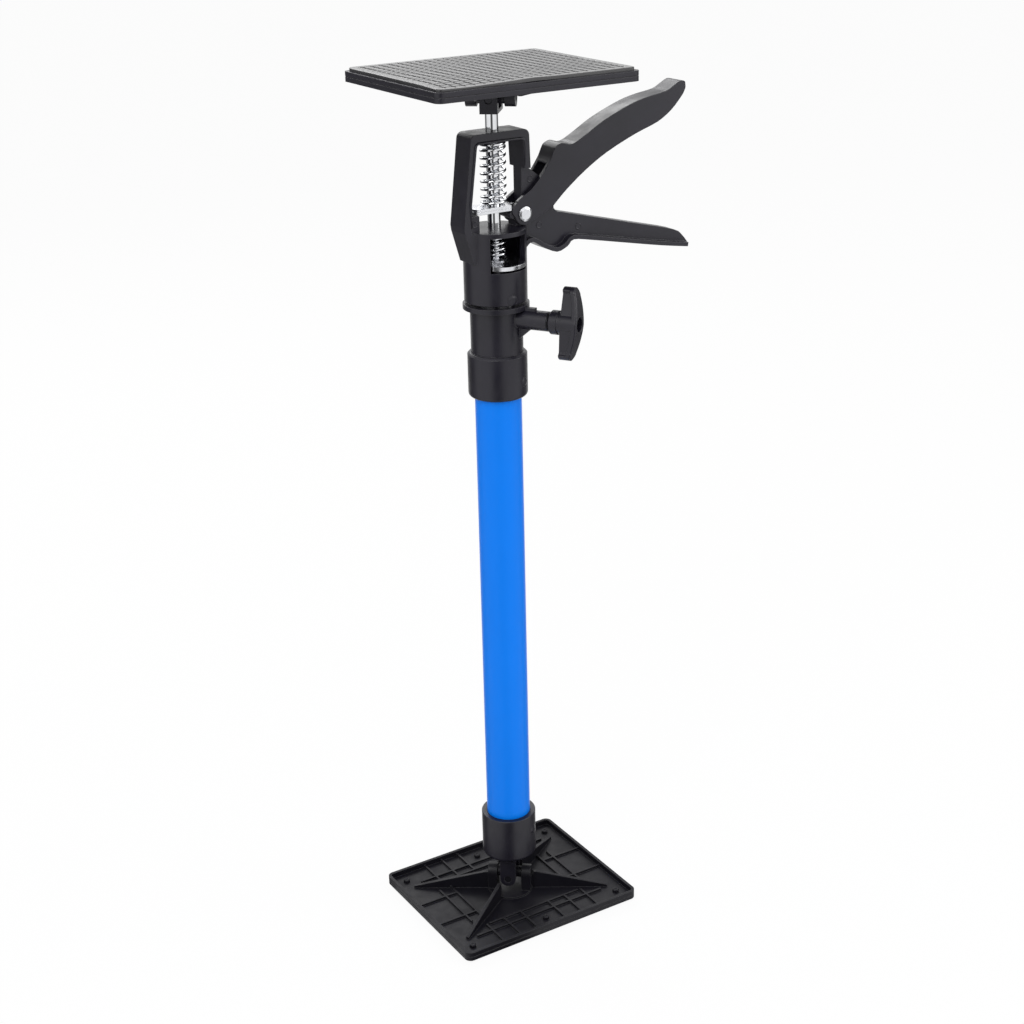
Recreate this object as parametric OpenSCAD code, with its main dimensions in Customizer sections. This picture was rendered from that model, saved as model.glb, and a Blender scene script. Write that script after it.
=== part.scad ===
// Telescopic drywall support pole: a tube on a tilting foot plate, a second tube clamped inside it,
// and a squeeze-lever head that walks a lift rod with a tilting plate up through it.
// Millimetres, +Z up, origin on the pole axis at the floor, +X towards the two handles.

/* [Plates] */
// Length of each plate, along the handles
plate_l = 122; // [112:1:140]
// Width of each plate
plate_w = 102; // [94:1:120]
// Corner radius of each plate
plate_corner = 4; // [3:0.5:8]
// Thickness of a plate's moulded floor
plate_floor = 2; // [1.6:0.1:2.2]
// Height of the rim round a plate
plate_rim_h = 5.4; // [4.6:0.1:6.4]
// Thickness of the rim
plate_rim_t = 1.8; // [1.4:0.1:2.4]
// Height of the stiffening ribs above the floor
rib_h = 1.4; // [0.8:0.1:2.2]
// Thickness of the stiffening ribs
rib_t = 1.1; // [0.8:0.1:1.6]
// Thickness of the four diagonal gussets
gusset_t = 2; // [1.6:0.1:3]
// Height of the gussets above the pad face
gusset_h = 13.5; // [10.5:0.1:14.5]
// Thickness of the rubber pads
pad_t = 1.8; // [1.4:0.1:3]
// Distance from a plate's edge to its pad's edge
pad_inset = 2; // [1.5:0.1:4]
// Diameter of the pad's pegs
peg_d = 3.8; // [3:0.1:4.4]
// Height of the pegs above the plate's floor
peg_rise = 2; // [1:0.1:3]
// Distance from a plate's edge to the middle of its pegs
peg_inset = 9; // [8.5:0.1:10]

/* [Tilting joints] */
// Height of the tilting axes above the face that a pad covers
joint_rise = 13.7; // [13.5:0.1:15]
// Distance between the two lugs of a plate
lug_gap = 15.2; // [14.8:0.1:16]
// Thickness of a lug
lug_t = 5.8; // [4:0.1:7]
// Width of a lug
lug_w = 9.8; // [9:0.1:10.2]
// Distance between the two ears of a fork
ear_gap = 10.6; // [10.2:0.1:11]
// Thickness of a fork's ear
ear_t = 4.6; // [3.5:0.1:4.9]
// Width of a fork's ear
ear_w = 9.6; // [9:0.1:9.8]
// Diameter of the cross's trunnions
trunnion_d = 4.4; // [3.6:0.1:5]
// Diameter of the cross's round middle
cross_d = 9.2; // [8:0.1:9.4]
// Direction of the lugs about the pole axis
joint_turn = -40; // [-45:1:-35]

/* [Foot] */
// Distance from the tilting axes up to the foot sleeve
foot_gap = 16; // [15:0.1:19]
// Outer diameter of the foot sleeve
foot_od = 33; // [31:0.5:35]
// Height of the foot sleeve
foot_h = 29.2; // [25:0.1:40]
// Thickness of the foot sleeve's floor
foot_floor = 3.2; // [2.6:0.1:5]

/* [Tubes] */
// Outer diameter of the outer tube
outer_od = 26.4; // [26.2:0.1:27]
// Wall of the outer tube
outer_wall = 1; // [0.9:0.05:1.15]
// Length of the outer tube
outer_l = 317.5; // [250:0.5:450]
// Outer diameter of the inner tube
inner_od = 22; // [21.6:0.1:22.2]
// Wall of the inner tube
inner_wall = 1; // [0.8:0.05:1.2]
// Distance from the foot's floor to the guide under the inner tube
inner_end_gap = 24; // [22:0.5:40]
// Thickness of the guide's flange
guide_flange_t = 4; // [3:0.5:8]
// Length of the guide's spigot inside the inner tube
guide_spigot_l = 10; // [6:0.5:16]

/* [Collar] */
// Outer diameter of the collar's lower sleeve
collar_od = 33.5; // [32:0.5:35]
// Height of the collar's lower sleeve
collar_h = 25.5; // [24:0.5:40]
// Depth of the outer tube in the collar
collar_seat = 22.5; // [18:0.5:23]
// Outer diameter of the collar's neck
neck_od = 29.2; // [28.4:0.1:30]
// Height of the collar's neck
neck_h = 25.2; // [24:0.1:32]
// Outer diameter of the collar's top ring
ring_od = 37; // [35.5:0.5:38.5]
// Height of the collar's top ring
ring_h = 2.7; // [2.2:0.1:4]

/* [Clamp] */
// Direction of the clamp about the pole axis
clamp_turn = -57; // [-70:1:-45]
// Distance of the clamp screw's axis below the top ring
clamp_drop = 5.4; // [5.2:0.1:7]
// Outer diameter of the clamp boss
boss_od = 11; // [10.4:0.1:11.6]
// Distance from the pole axis to the end of the boss
boss_reach = 32; // [29.5:0.5:35]
// Diameter of the clamp screw
screw_d = 6; // [5:0.1:6.2]
// Outer diameter of the brass insert
insert_od = 7.8; // [7.5:0.1:8]
// Diameter of the knob's hub
knob_hub_d = 13.4; // [12.4:0.1:14.4]
// Length of the knob's hub
knob_hub_l = 6.4; // [5:0.1:8]
// Span of the knob's two wings
knob_span = 40; // [34:0.5:46]
// Depth of the knob's wings at the hub
knob_depth = 10.4; // [9:0.1:13]
// Depth of the knob's wings at their tips
knob_tip_depth = 6.6; // [5:0.1:8]
// Width of the knob's wings at the hub
knob_wing_w = 12; // [10:0.1:14]
// Width of the knob's wings at their tips
knob_tip_w = 8; // [6:0.1:9.5]
// Diameter of the recess in the knob's front
knob_recess_d = 8; // [6:0.1:9]

/* [Head] */
// Gap between the collar and the head with the tubes pushed together
head_gap = 1.4; // [1:0.1:3]
// Outer diameter of the head's barrel
head_od = 35; // [34.5:0.1:35.7]
// Height of the head's barrel
head_h = 40; // [39.5:0.1:42]
// Depth of the inner tube in the head
head_seat = 12.7; // [11:0.1:13]
// Thickness of the floor between the inner tube and the release chamber
chamber_floor = 4; // [3:0.1:4.6]
// Thickness of the barrel's lid
lid_t = 2.4; // [2:0.1:2.8]
// Wall round the release chamber
chamber_wall = 3.9; // [3.55:0.05:3.95]
// Width of the chamber's thumb window
window_w = 22; // [21.5:0.5:23]
// Height of the frame above the barrel
frame_h = 52.4; // [51.5:0.1:58]
// Reach of the far column's top from the pole axis
frame_left = 17.5; // [17.2:0.1:18.5]
// Lean of the far column's outer face
frame_lean = 5.4; // [4:0.1:6]
// Reach of the handles' column from the pole axis
frame_right = 18.6; // [18.4:0.1:19.2]
// Depth of the frame from front to back
frame_depth = 15.4; // [15:0.1:17]
// Thickness of the frame's columns at the top
frame_t = 3; // [2.6:0.1:3.2]
// Thickness of the frame's far column at its foot
frame_foot_t = 4.4; // [3.6:0.1:4.6]
// Thickness of the bridge on top of the frame
bridge_t = 5.2; // [4.4:0.1:6]
// Corner radius of the bridge
bridge_corner = 3.5; // [2:0.1:4]
// Height of the ledge that the drive plates rest on
ledge_h = 9; // [8.9:0.05:9.1]

/* [Lower handle] */
// Reach of the lower handle from the pole axis
grip_reach = 128.5; // [115:0.5:140]
// Drop of the lower handle's end below the barrel's lid
grip_drop = 26.8; // [24:0.1:32]
// Thickness of the web that carries the lever
web_t = 8; // [7.4:0.1:8.1]
// Width of the flange under the lower handle
flange_w = 16; // [14:0.5:18]
// Thickness of the flange under the lower handle
flange_t = 2.4; // [2:0.1:3]

/* [Lever] */
// Distance of the lever's pivot from the pole axis
pivot_x = 15.8; // [15.7:0.05:16]
// Height of the lever's pivot above the barrel
pivot_rise = 6.5; // [6.45:0.05:6.6]
// Diameter of the pivot rivet
pivot_d = 4; // [3.5:0.1:4.2]
// Diameter of the pivot rivet's heads
pivot_head_d = 8.1; // [7:0.1:9]
// Thickness of the pivot rivet's heads
pivot_head_t = 1.2; // [0.8:0.1:1.6]
// Reach of the lever from its pivot
lever_reach = 107.3; // [98:0.5:118]
// Height of the lever's end above its pivot
lever_rise = 61.1; // [59:0.1:66]
// Width of the lever
lever_w = 13.2; // [13:0.1:13.8]
// Thickness of the lever's cheeks
cheek_t = 2.2; // [1.8:0.05:2.2]
// Thickness of the lever's back
back_t = 2; // [1.6:0.1:2.6]
// Radius of the lever's nose
nose_r = 8.1; // [7.6:0.05:8.15]
// Radius of the lever's underside round the pivot
heel_r = 6.2; // [5.6:0.05:6.2]
// Distance of the lifting bar from the pivot
bar_reach = 6.8; // [6.75:0.05:6.9]
// Diameter of the lifting bar
bar_d = 4.4; // [4:0.1:4.4]

/* [Lift rod] */
// Diameter of the lift rod
rod_d = 7.2; // [7:0.1:7.3]
// Length of the lift rod
rod_l = 387.5; // [300:0.5:400]
// Gap between the bridge and the fork on top of the rod
rod_show = 9.8; // [8:0.1:20]
// Height of the top tilting axes above the fork's underside
fork_rise = 7.5; // [7.3:0.1:9]
// Thickness of the fork's base
fork_base_t = 1.9; // [1.5:0.1:1.9]
// Diameter of the rod's riveted end
rod_spigot_d = 5; // [4:0.1:5.6]
// Diameter of the stop washer under the rod
stop_d = 18.8; // [16:0.1:19]
// Thickness of the stop washer
stop_t = 1.5; // [1.2:0.1:2.5]
// Diameter of the stop screw
stop_screw_d = 3; // [2.5:0.1:4]

/* [Drive plates] */
// Thickness of one drive plate
strip_t = 1.5; // [1.3:0.05:1.5]
// Reach of the drive plates over the ledge
drive_back = 14.4; // [13.8:0.1:14.4]
// Reach of the drive plates towards the lever
drive_front = 7.3; // [6.8:0.1:7.3]
// Width of the drive plates
drive_w = 13; // [12:0.1:13.4]
// Reach of the tongue under which the lever's bar works
tongue_reach = 12; // [11.6:0.1:12.1]
// Width of the tongue
tongue_w = 6; // [5:0.1:7]

/* [Release plate] */
// Thickness of the release plate
release_t = 2.3; // [1.8:0.1:2.5]
// Width of the release plate
release_w = 20.8; // [19.5:0.1:21]
// Reach of the release plate's thumb edge from the pole axis
release_reach = 18.4; // [17.9:0.1:19.4]
// Slope of the release plate at rest
release_lean = 10.8; // [9:0.1:11.5]
// Height of the release plate's underside above the chamber's floor, on the pole axis
release_rise = 6.4; // [6:0.1:6.8]

/* [Springs] */
// Wire diameter of the drive spring
drive_wire = 1.5; // [1.2:0.05:1.6]
// Turns of the drive spring
drive_turns = 9; // [7:0.5:10]
// Wire diameter of the release spring
release_wire = 1.2; // [1:0.05:1.2]
// Turns of the release spring
release_turns = 4.5; // [3:0.5:5]
// Outer diameter of both springs
spring_od = 14.6; // [14:0.1:15]

/* [Hidden] */
$fn = 48;

// Clearances: pressed, turning, loose, and the overrun of cuts
fit = 0.05;
running = 0.08;
loose = 0.3;
over = 1;

// Colours
black = [0.09, 0.09, 0.1];
rubber = [0.16, 0.16, 0.17];
blue = [0.02, 0.2, 0.62];
zinc = [0.75, 0.76, 0.78];
brass = [0.8, 0.62, 0.28];

// Heights of what stands on what, from the floor to the top pad
foot_joint_z = pad_t + joint_rise;
foot_z = foot_joint_z + foot_gap;
tube_z = foot_z + foot_floor;
tube_top = tube_z + outer_l;
collar_z = tube_top - collar_seat;
collar_neck_z = collar_z + collar_h;
ring_z = collar_neck_z + neck_h;
clamp_z = ring_z - clamp_drop;
head_z = ring_z + ring_h + head_gap;
inner_top = head_z + head_seat;
chamber_z = inner_top + chamber_floor;
head_top = head_z + head_h;
lid_z = head_top - lid_t;
pivot_z = head_top + pivot_rise;
frame_top = head_top + frame_h;
bridge_z = frame_top - bridge_t;
fork_z = frame_top + rod_show;
top_joint_z = fork_z + fork_rise;
top_face_z = top_joint_z + joint_rise;
guide_z = tube_z + inner_end_gap;
inner_z = guide_z + guide_flange_t;
rod_z = fork_z - rod_l;

// Tilting joints
lug_out = lug_gap / 2 + lug_t;
ear_out = ear_gap / 2 + ear_t;
shoulder_d = trunnion_d + 2.2 * rib_t;
hub_r = lug_out + rib_t / 2;
hub_h = plate_floor + rib_t;

// Ribs on the plates' inner side, as shares of a plate's half length and half width
long_rib_shares = [[0.676, 0.74], [0.54, 0.53]];
cross_rib_shares = [0.164, 0.36, 0.56];
end_rib_shares = [0.656, 0.525];
side_rib_share = 0.235;
end_rib_l_share = 0.39;
gusset_end_shares = [0.836, 0.647];

// Groove round a plate's rim
groove_z = 2.4;
groove_h = 0.4;
groove_d = 0.3;

// Rivets through sleeves and tubes, and the pins in the head
rivet_d = 3.2;
rivet_head_d = 6;
rivet_head_t = 0.9;
rivet_sink = 0.6;
foot_rivet_share = 0.63;
collar_rivet_share = 0.37;
head_pin_share = 0.22;

// Clamp
clamp_pitch = 1;
clamp_turns = 2;
shoe_l = 4.2;
insert_lip_t = 0.7;
insert_lip_d = boss_od - 2 * fit;
shoe_in = inner_od / 2 + running;
shoe_out = shoe_in + shoe_l;
insert_l = boss_reach - shoe_out - clamp_turns * clamp_pitch - loose;
knob_gap = 0.8;
knob_z = boss_reach + insert_lip_t + knob_gap;
wing_z = knob_z + knob_hub_l;
recess_depth = knob_depth / 2;
knob_rest = -12;
gusset_below_t = 3;

// Release chamber and its plate
chamber_r = head_od / 2 - chamber_wall;
window_z = chamber_z + chamber_floor / 2 - loose;
release_z = chamber_z + release_rise;
release_pivot_y = chamber_r - release_t / 2;
release_pivot_z = release_z + release_pivot_y * tan(release_lean);
release_bore_r = rod_d / 2 + 2 * loose;
release_back_r = chamber_r - 2 * loose;
ledge_in = release_pivot_y - 1.5 * release_t / 2;
release_ledge_z = release_z + ledge_in * tan(release_lean) - loose;

// Drive plates and springs
drive_z = head_top + ledge_h + loose;
drive_top = drive_z + 2 * strip_t;
drive_bore_r = rod_d / 2 + loose;
drive_chamfer = 2.4;
spring_seat = 0.1;
spring_end_gap = 0.55;
ring_steps = 8;
wire_sides = 6;

// Frame of the head
column_foot_z = head_top + groove_h;
column_knee_z = head_top + bridge_corner;
skirt_drop = 17;
web_top_z = frame_top - 21.2;
web_x = pivot_x - groove_h;
frame_inner_right = frame_right - frame_t - loose;
web_arc_r = bar_reach - bar_d / 2 - loose;
ledge_x = 13;
ledge_w = 13;

// Lower handle: shares of its reach along X and of its drop below the barrel's lid along Z
grip_top_shares = [[0.28, -0.25], [0.288, -0.205], [0.302, -0.157], [0.326, -0.134], [0.526, 0.116],
                   [0.7385, 0.381], [0.92, 0.615], [0.968, 0.77], [1, 0.955]];
grip_under_shares = [[0.978, 1], [0.833, 0.881], [0.624, 0.675], [0.455, 0.507], [0.362, 0.434],
                     [0.33, 0.549], [0.275, 0.634], [0.204, 0.485], [0.153, 0.343], [0.119, 0.444],
                     [0.105, 0.6]];
// Web between the frame and the lower handle: shares of the grip's reach and of the frame's height
web_back_shares = [[0.15, 0.595], [0.21, 0.483], [0.257, 0.319], [0.279, 0.17]];

// Lever: shares of its reach along X and of its rise along Z, both from the pivot
lever_front_shares = [[-0.044, 0.116], [-0.005, 0.162], [0.041, 0.208], [0.102, 0.313], [0.144, 0.41]];
lever_back_shares = [[0.144, 0.41], [0.163, 0.46], [0.178, 0.516], [0.193, 0.556], [0.224, 0.579],
                     [0.247, 0.574], [0.293, 0.56], [0.37, 0.622], [0.485, 0.732], [0.655, 0.848],
                     [0.768, 0.895], [0.873, 0.923], [0.93, 0.97]];
lever_tip_shares = [[0.966, 1], [0.994, 0.995], [1, 0.967], [1, 0.931], [0.985, 0.88]];
lever_under_shares = [[0.965, 0.841], [0.91, 0.748], [0.822, 0.656], [0.68, 0.574], [0.505, 0.447],
                      [0.371, 0.313], [0.262, 0.175], [0.199, 0.08], [0.167, 0.026]];

function arc(centre, r, a0, a1, steps = 6) =
    [for (i = [0 : steps]) let (a = a0 + (a1 - a0) * i / steps) centre + r * [cos(a), sin(a)]];

function spline_point(a, b, c, d, t) =
    0.5 * (2 * b + (c - a) * t + (2 * a - 5 * b + 4 * c - d) * t * t + (3 * b - a - 3 * c + d) * t * t * t);

// A smooth line through points, with so many steps between two points
function smooth(p, steps = 3) = let (n = len(p)) concat(
    [for (i = [0 : n - 2], k = [0 : steps - 1])
        spline_point(p[max(i - 1, 0)], p[i], p[i + 1], p[min(i + 2, n - 1)], k / steps)],
    [p[n - 1]]);

// A line moved sideways to its left
function beside(p, d) = let (n = len(p))
    [for (i = [0 : n - 1]) let (t = p[min(i + 1, n - 1)] - p[max(i - 1, 0)])
        p[i] + d * [-t[1], t[0]] / norm(t)];

function reversed(p) = [for (i = [len(p) - 1 : -1 : 0]) p[i]];

function scaled(shares, origin, size) =
    [for (s = shares) [origin[0] + s[0] * size[0], origin[1] + s[1] * size[1]]];

// An outline in the XZ plane, as thick as w along Y
module across(w) {
    rotate([90, 0, 0]) linear_extrude(w, center = true) children();
}

// A frame whose +Z points away from the pole axis at one height
module outward(turn, z) {
    rotate([0, 0, turn]) translate([0, 0, z]) rotate([0, 90, 0]) children();
}

module rounded_rect(l, w, r) {
    square([l - 2 * r, w], center = true);
    square([l, w - 2 * r], center = true);
    for (x = [-1, 1], y = [-1, 1]) {
        translate([x * (l / 2 - r), y * (w / 2 - r)]) circle(r);
    }
}

module slab(l, w, r, h) {
    linear_extrude(h) rounded_rect(l, w, r);
}

// Both ends have the same plate and pad: the pad's face lies on z = 0 and the plate rises from it
module peg_places() {
    for (x = [-1, 0, 1], y = [-1, 1]) {
        translate([x * (plate_l / 2 - peg_inset), y * (plate_w / 2 - peg_inset - peg_rise / 2), 0]) children();
    }
}

module pad_shape() {
    translate([0, 0, -pad_t])
        slab(plate_l - 2 * pad_inset, plate_w - 2 * pad_inset, plate_corner - pad_inset / 2, pad_t);
    peg_places() {
        cylinder(d = peg_d, h = plate_floor + peg_rise - peg_d / 4);
        translate([0, 0, plate_floor + peg_rise - peg_d / 4])
            cylinder(d1 = peg_d, d2 = peg_d / 2, h = peg_d / 4);
    }
}

module rib(x, y, l, w) {
    translate([x, y, plate_floor + rib_h / 2]) cube([l, w, rib_h], center = true);
}

module plate_ribs() {
    hx = plate_l / 2;
    hy = plate_w / 2;
    inner_y = long_rib_shares[1][0] * hy;
    outer_y = hy - plate_rim_t;
    inner_x = end_rib_shares[1] * hx;
    outer_x = hx - plate_rim_t;
    for (side = [-1, 1]) {
        for (s = long_rib_shares) rib(0, side * s[0] * hy, 2 * s[1] * hx, rib_t);
        for (s = cross_rib_shares, end = [-1, 1]) {
            rib(end * s * hx, side * (inner_y + outer_y) / 2, rib_t, outer_y - inner_y);
        }
        for (s = end_rib_shares) rib(side * s * hx, 0, rib_t, 2 * end_rib_l_share * hy);
        for (end = [-1, 1]) {
            rib(side * (inner_x + outer_x) / 2, end * side_rib_share * hy, outer_x - inner_x, rib_t);
        }
    }
}

module plate_gussets() {
    end = [gusset_end_shares[0] * plate_l / 2, gusset_end_shares[1] * plate_w / 2];
    turn = atan2(end[1], end[0]);
    for (t = [turn, -turn, 180 - turn, 180 + turn]) {
        start = sin(t) * cos(t) < 0 ? lug_out - lug_t / 2 : hub_r + rib_t;
        rotate([0, 0, t]) across(gusset_t)
            polygon([[start, plate_floor / 2], [start, gusset_h], [hub_r + 2 * rib_t, gusset_h],
                     [norm(end), plate_floor + rib_h], [norm(end), plate_floor / 2]]);
    }
}

module plate_shape() {
    difference() {
        union() {
            slab(plate_l, plate_w, plate_corner, plate_floor);
            difference() {
                slab(plate_l, plate_w, plate_corner, plate_rim_h);
                translate([0, 0, -over]) slab(plate_l - 2 * plate_rim_t, plate_w - 2 * plate_rim_t,
                                              plate_corner - plate_rim_t, plate_rim_h + 2 * over);
            }
            plate_ribs();
            plate_gussets();
            cylinder(r = hub_r, h = hub_h);
            for (side = [0, 180]) {
                rotate([0, 0, joint_turn + side]) translate([lug_gap / 2, 0, 0]) {
                    translate([0, -lug_w / 2, 0]) cube([lug_t, lug_w, joint_rise]);
                    translate([0, 0, joint_rise]) rotate([0, 90, 0]) cylinder(d = lug_w, h = lug_t);
                }
            }
        }
        translate([0, 0, joint_rise]) rotate([0, 90, joint_turn])
            cylinder(d = trunnion_d + 2 * running, h = 2 * lug_out + 2 * over, center = true);
        peg_places() translate([0, 0, -over]) cylinder(d = peg_d + 2 * fit, h = plate_floor + 2 * over);
        translate([0, 0, groove_z]) linear_extrude(groove_h) difference() {
            rounded_rect(plate_l + over, plate_w + over, plate_corner + over / 2);
            rounded_rect(plate_l - 2 * groove_d, plate_w - 2 * groove_d, plate_corner - groove_d);
        }
    }
}

// The cross between a plate's lugs and a fork's ears
module cross_shape() {
    sphere(d = cross_d);
    rotate([0, 90, joint_turn]) {
        cylinder(d = trunnion_d, h = 2 * lug_out - rib_t, center = true);
        cylinder(d = shoulder_d, h = lug_gap - 2 * loose, center = true);
    }
    rotate([0, 90, joint_turn + 90]) {
        cylinder(d = trunnion_d, h = 2 * ear_out - rib_t, center = true);
        cylinder(d = shoulder_d, h = ear_gap - 2 * loose, center = true);
    }
}

// Two ears on the other diagonal, round at the tilting axis and as long as reach towards their root
module ears(reach) {
    for (side = [0, 180]) {
        rotate([0, 0, joint_turn + 90 + side]) translate([ear_gap / 2, 0, 0]) {
            rotate([0, 90, 0]) cylinder(d = ear_w, h = ear_t);
            translate([0, -ear_w / 2, min(reach, 0)]) cube([ear_t, ear_w, abs(reach)]);
        }
    }
}

module ear_bore() {
    rotate([0, 90, joint_turn + 90])
        cylinder(d = trunnion_d + 2 * running, h = 2 * ear_out + 2 * over, center = true);
}

module base_pad() {
    color(rubber) translate([0, 0, pad_t]) pad_shape();
}

module base_plate() {
    color(black) translate([0, 0, pad_t]) plate_shape();
}

module foot_cross() {
    color(black) translate([0, 0, foot_joint_z]) cross_shape();
}

// A pair of rivets on opposite sides, from the bore of the inner piece out to the sleeve's skin
module side_rivets(turn, z, r_in, r_out) {
    for (side = [0, 180]) {
        outward(turn + side, z) {
            translate([0, 0, r_in]) cylinder(d = rivet_d, h = r_out - rivet_sink - r_in);
            translate([0, 0, r_out - rivet_sink]) cylinder(d = rivet_head_d, h = rivet_head_t / 2);
            translate([0, 0, r_out - rivet_sink + rivet_head_t / 2])
                cylinder(d1 = rivet_head_d, d2 = rivet_d, h = rivet_head_t / 2);
        }
    }
}

module side_rivet_bores(turn, z, r_out) {
    for (side = [0, 180]) {
        outward(turn + side, z) {
            cylinder(d = rivet_d + 2 * fit, h = r_out + over);
            translate([0, 0, r_out - rivet_sink]) cylinder(d = rivet_head_d + 2 * fit, h = rivet_sink + over);
        }
    }
}

foot_rivet_z = foot_z + foot_rivet_share * foot_h;
collar_rivet_z = collar_z + collar_rivet_share * collar_h;
head_pin_z = head_z + head_pin_share * head_seat;
outer_bore_r = outer_od / 2 - outer_wall;
inner_bore_r = inner_od / 2 - inner_wall;

module foot_socket() {
    edge = foot_floor * 0.8;
    color(black) difference() {
        union() {
            translate([0, 0, foot_z]) rotate_extrude()
                polygon(concat([[0, 0]], arc([foot_od / 2 - edge, edge], edge, -90, 0),
                               [[foot_od / 2, foot_h - groove_d], [foot_od / 2 - groove_d, foot_h],
                                [0, foot_h]]));
            translate([0, 0, foot_joint_z]) ears(foot_gap + foot_floor / 2);
        }
        translate([0, 0, tube_z]) cylinder(d = outer_od + 2 * fit, h = foot_h);
        translate([0, 0, foot_joint_z]) ear_bore();
        side_rivet_bores(clamp_turn, foot_rivet_z, foot_od / 2);
    }
}

module foot_rivets() {
    color(black) side_rivets(clamp_turn, foot_rivet_z, outer_bore_r + fit, foot_od / 2);
}

module outer_tube() {
    color(blue) difference() {
        translate([0, 0, tube_z]) cylinder(d = outer_od, h = outer_l);
        translate([0, 0, tube_z - over]) cylinder(r = outer_bore_r, h = outer_l + 2 * over);
        for (z = [foot_rivet_z, collar_rivet_z]) {
            outward(clamp_turn, z) cylinder(d = rivet_d + 2 * fit, h = 2 * outer_od, center = true);
        }
    }
}

module collar() {
    r = collar_od / 2;
    edge = collar_seat / 10;
    boss_r = boss_od / 2;
    color(black) difference() {
        union() {
            translate([0, 0, collar_z]) rotate_extrude()
                polygon(concat([[0, 0]], arc([r - edge, edge], edge, -90, 0),
                               [[r, collar_h - edge / 2], [r - edge / 2, collar_h], [neck_od / 2, collar_h],
                                [neck_od / 2, collar_h + neck_h], [ring_od / 2, collar_h + neck_h],
                                [ring_od / 2, collar_h + neck_h + ring_h], [0, collar_h + neck_h + ring_h]]));
            outward(clamp_turn, clamp_z) cylinder(d = boss_od, h = boss_reach);
            rotate([0, 0, clamp_turn]) across(gusset_below_t)
                polygon([[0, clamp_z], [boss_reach - boss_od, clamp_z],
                         [boss_reach - boss_od, clamp_z - boss_r], [neck_od / 2, clamp_z - boss_od],
                         [0, clamp_z - boss_od]]);
            rotate([0, 0, clamp_turn]) across(gusset_below_t)
                polygon([[0, clamp_z], [ring_od / 2 + boss_r, clamp_z],
                         [ring_od / 2 + boss_r, ring_z + ring_h / 2], [0, ring_z + ring_h / 2]]);
        }
        translate([0, 0, collar_z - over]) cylinder(d = outer_od + 2 * fit, h = collar_seat + over);
        translate([0, 0, collar_z]) cylinder(d = inner_od + 2 * running, h = collar_h + neck_h + 2 * ring_h);
        outward(clamp_turn, clamp_z) cylinder(d = insert_od + 2 * fit, h = boss_reach + over);
        side_rivet_bores(clamp_turn, collar_rivet_z, collar_od / 2);
    }
}

module collar_rivets() {
    color(black) side_rivets(clamp_turn, collar_rivet_z, outer_bore_r + fit, collar_od / 2);
}

module clamp_insert() {
    color(brass) outward(clamp_turn, clamp_z) difference() {
        union() {
            translate([0, 0, boss_reach - insert_l]) cylinder(d = insert_od, h = insert_l);
            translate([0, 0, boss_reach]) cylinder(d = insert_lip_d, h = insert_lip_t);
        }
        cylinder(d = screw_d + 2 * running, h = boss_reach + insert_l);
    }
}

module clamp_shoe() {
    color(brass) difference() {
        outward(clamp_turn, clamp_z) cylinder(d = insert_od - 2 * running, h = shoe_out);
        translate([0, 0, clamp_z - insert_od]) cylinder(r = shoe_in, h = 2 * insert_od);
    }
}

module clamp_screw() {
    color(zinc) outward(clamp_turn, clamp_z) translate([0, 0, shoe_out + fit])
        cylinder(d = screw_d, h = wing_z + knob_depth - recess_depth - fit - shoe_out);
}

module clamp_knob() {
    half = knob_span / 2;
    tip_r = knob_tip_w / 2;
    hub_w = knob_wing_w / 2;
    color(black) outward(clamp_turn, clamp_z) rotate(knob_rest) difference() {
        union() {
            translate([0, 0, knob_z]) cylinder(d = knob_hub_d, h = knob_hub_l + over);
            intersection() {
                translate([0, 0, wing_z]) linear_extrude(knob_depth)
                    polygon(concat([[0, hub_w]], arc([half - tip_r, 0], tip_r, 80, -80, 10), [[0, -hub_w]],
                                   arc([tip_r - half, 0], tip_r, 260, 100, 10)));
                translate([0, 0, wing_z]) across(2 * knob_wing_w)
                    polygon(concat([[-half, 0], [half, 0]],
                                   [for (i = [10 : -1 : -10]) let (t = i / 10)
                                       [half * t, knob_tip_depth + (knob_depth - knob_tip_depth) * (1 - t * t)]]));
            }
        }
        cylinder(d = screw_d + 2 * fit, h = wing_z + knob_depth + over);
        translate([0, 0, wing_z + knob_depth - recess_depth]) cylinder(d = knob_recess_d, h = knob_depth);
    }
}

module tube_guide() {
    color(black) difference() {
        union() {
            translate([0, 0, guide_z]) cylinder(r = outer_bore_r - running, h = guide_flange_t - fit);
            translate([0, 0, guide_z])
                cylinder(r = inner_bore_r - running, h = guide_flange_t + guide_spigot_l);
        }
        translate([0, 0, guide_z - over])
            cylinder(r = inner_bore_r / 2, h = guide_flange_t + guide_spigot_l + 2 * over);
    }
}

module inner_tube() {
    color(zinc) difference() {
        translate([0, 0, inner_z]) cylinder(d = inner_od, h = inner_top - inner_z);
        translate([0, 0, inner_z - over]) cylinder(r = inner_bore_r, h = inner_top - inner_z + 2 * over);
        outward(-90, head_pin_z) cylinder(d = rivet_d + 2 * fit, h = 2 * inner_od, center = true);
    }
}

// Frame of the head: far column with its skirt, bridge, and the upper part of the handles' column
frame_outline = concat(
    [[frame_inner_right, bridge_z], [web_x, web_top_z], [frame_right + 2 * loose, web_top_z]],
    arc([frame_right - bridge_corner, frame_top - bridge_corner], bridge_corner, 0, 90),
    arc([bridge_corner - frame_left, frame_top - bridge_corner], bridge_corner, 90, 180),
    [[-frame_left - frame_lean, column_knee_z], [-frame_left - frame_lean + groove_h, column_foot_z],
     [-head_od / 2, head_top - skirt_drop], [-chamber_r, head_top - skirt_drop], [-chamber_r, head_top],
     [frame_foot_t - frame_left - frame_lean, head_top],
     [frame_foot_t - frame_left - frame_lean, head_top + frame_h * 0.3],
     [frame_t - frame_left, bridge_z]]);

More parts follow.
